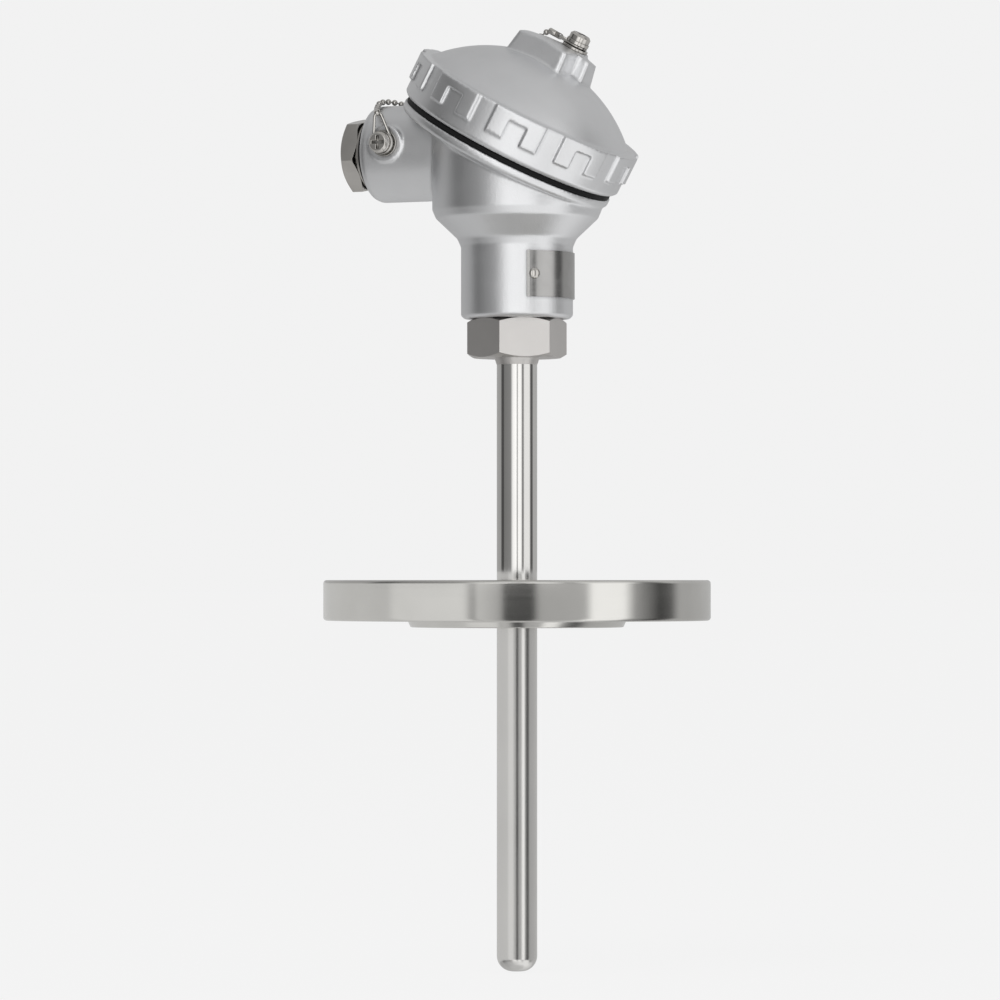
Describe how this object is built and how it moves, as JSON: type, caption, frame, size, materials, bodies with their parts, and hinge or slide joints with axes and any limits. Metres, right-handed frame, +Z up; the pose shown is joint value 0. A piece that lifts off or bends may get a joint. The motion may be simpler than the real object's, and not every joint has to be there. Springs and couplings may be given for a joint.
{
  "type": "rtd probe with head",
  "caption": "Resistance thermometer with a screw-cap aluminium head, hexagon adaptor, bolted flange and polished closed tube with a measuring insert",
  "frame": {"origin": "centre of the flange's raised sealing face, on the stem's axis", "axes": "+Z up the stem towards the head, -X along the conduit boss, the oblique cap faces +X"},
  "size_m": [0.115, 0.115, 0.2805],
  "materials": {
    "stainless_turned": "turned stainless steel",
    "stainless_polished": "polished stainless steel",
    "stainless_plate": "rolled stainless sheet",
    "cast_aluminium_paint": "fine silver paint on die-cast aluminium",
    "nickel_steel": "nickel-plated steel",
    "nickel_plated_brass": "nickel-plated brass",
    "brass": "bare brass",
    "copper_lead": "tinned copper wire",
    "black_rubber": "black rubber",
    "ceramic": "glazed ceramic"
  },
  "bodies": {
    "head": {"flange": "stainless_turned", "protection_tube": "stainless_polished", "hex_adaptor": "stainless_polished", "head_body": "cast_aluminium_paint", "nameplate": "stainless_plate", "nameplate_rivets": "stainless_plate", "cap_gasket": "black_rubber", "body_chain_coupler": "nickel_steel", "body_chain_link": "nickel_steel", "body_chain_washer": "nickel_steel", "body_chain_spring_washer": "nickel_steel", "body_chain_screw": "nickel_steel", "gland_washer": "nickel_steel", "gland_grommet": "black_rubber", "insert_mounting_screws": "nickel_steel", "insert_springs": "nickel_steel"},
    "cap_chain": {"bead_chain": "nickel_steel"},
    "cap": {"cap": "cast_aluminium_paint", "cap_chain_washer": "nickel_steel", "cap_chain_spring_washer": "nickel_steel", "cap_chain_screw": "nickel_steel"},
    "cap_link": {"cap_chain_link": "nickel_steel", "cap_chain_coupler": "nickel_steel"},
    "gland_seal": {"gland_gasket": "black_rubber"},
    "gland_nut": {"gland_nut": "nickel_plated_brass"},
    "insert": {"insert_base_plate": "stainless_plate", "insert_sheath": "stainless_polished", "rtd_element": "ceramic", "lead_wires": "copper_lead", "terminal_block": "ceramic", "terminal_clamps": "brass", "terminal_screws": "nickel_steel"}
  },
  "joints": [
    {"name": "cap_lift", "type": "slide", "parent": "head", "child": "cap_chain", "axis": [0.4848, 0, 0.8746], "range_m": [0, 0.008], "deforming": ["bead_chain"]},
    {"name": "cap_turn", "type": "hinge", "parent": "cap_chain", "child": "cap", "pos_m": [-0.0029, 0, 0.1423], "axis": [0.4848, 0, 0.8746], "range_deg": [0, 1440]},
    {"name": "cap_link_swivel", "type": "hinge", "parent": "cap", "child": "cap_link", "pos_m": [-0.00028, 0.0044, 0.14085], "axis": [0.4848, 0, 0.8746], "range_deg": [-1440, 0]},
    {"name": "gland_lift", "type": "slide", "parent": "head", "child": "gland_seal", "axis": [-1, 0, 0], "range_m": [0, 0.009]},
    {"name": "gland_turn", "type": "hinge", "parent": "gland_seal", "child": "gland_nut", "pos_m": [0, 0, 0.142], "axis": [-1, 0, 0], "range_deg": [0, 2160]},
    {"name": "insert_lift", "type": "slide", "parent": "head", "child": "insert", "axis": [0, 0, 1], "range_m": [0, 0.006], "stiffness_N_per_m": 2000, "springref_m": -0.002, "deforming": ["insert_springs"]}
  ],
  "couplings": [
    {"joint": "cap_lift", "follows": "cap_turn", "m_per_rad": 0.00031831},
    {"joint": "cap_link_swivel", "follows": "cap_turn", "ratio": -1},
    {"joint": "gland_lift", "follows": "gland_turn", "m_per_rad": 0.00023873}
  ]
}
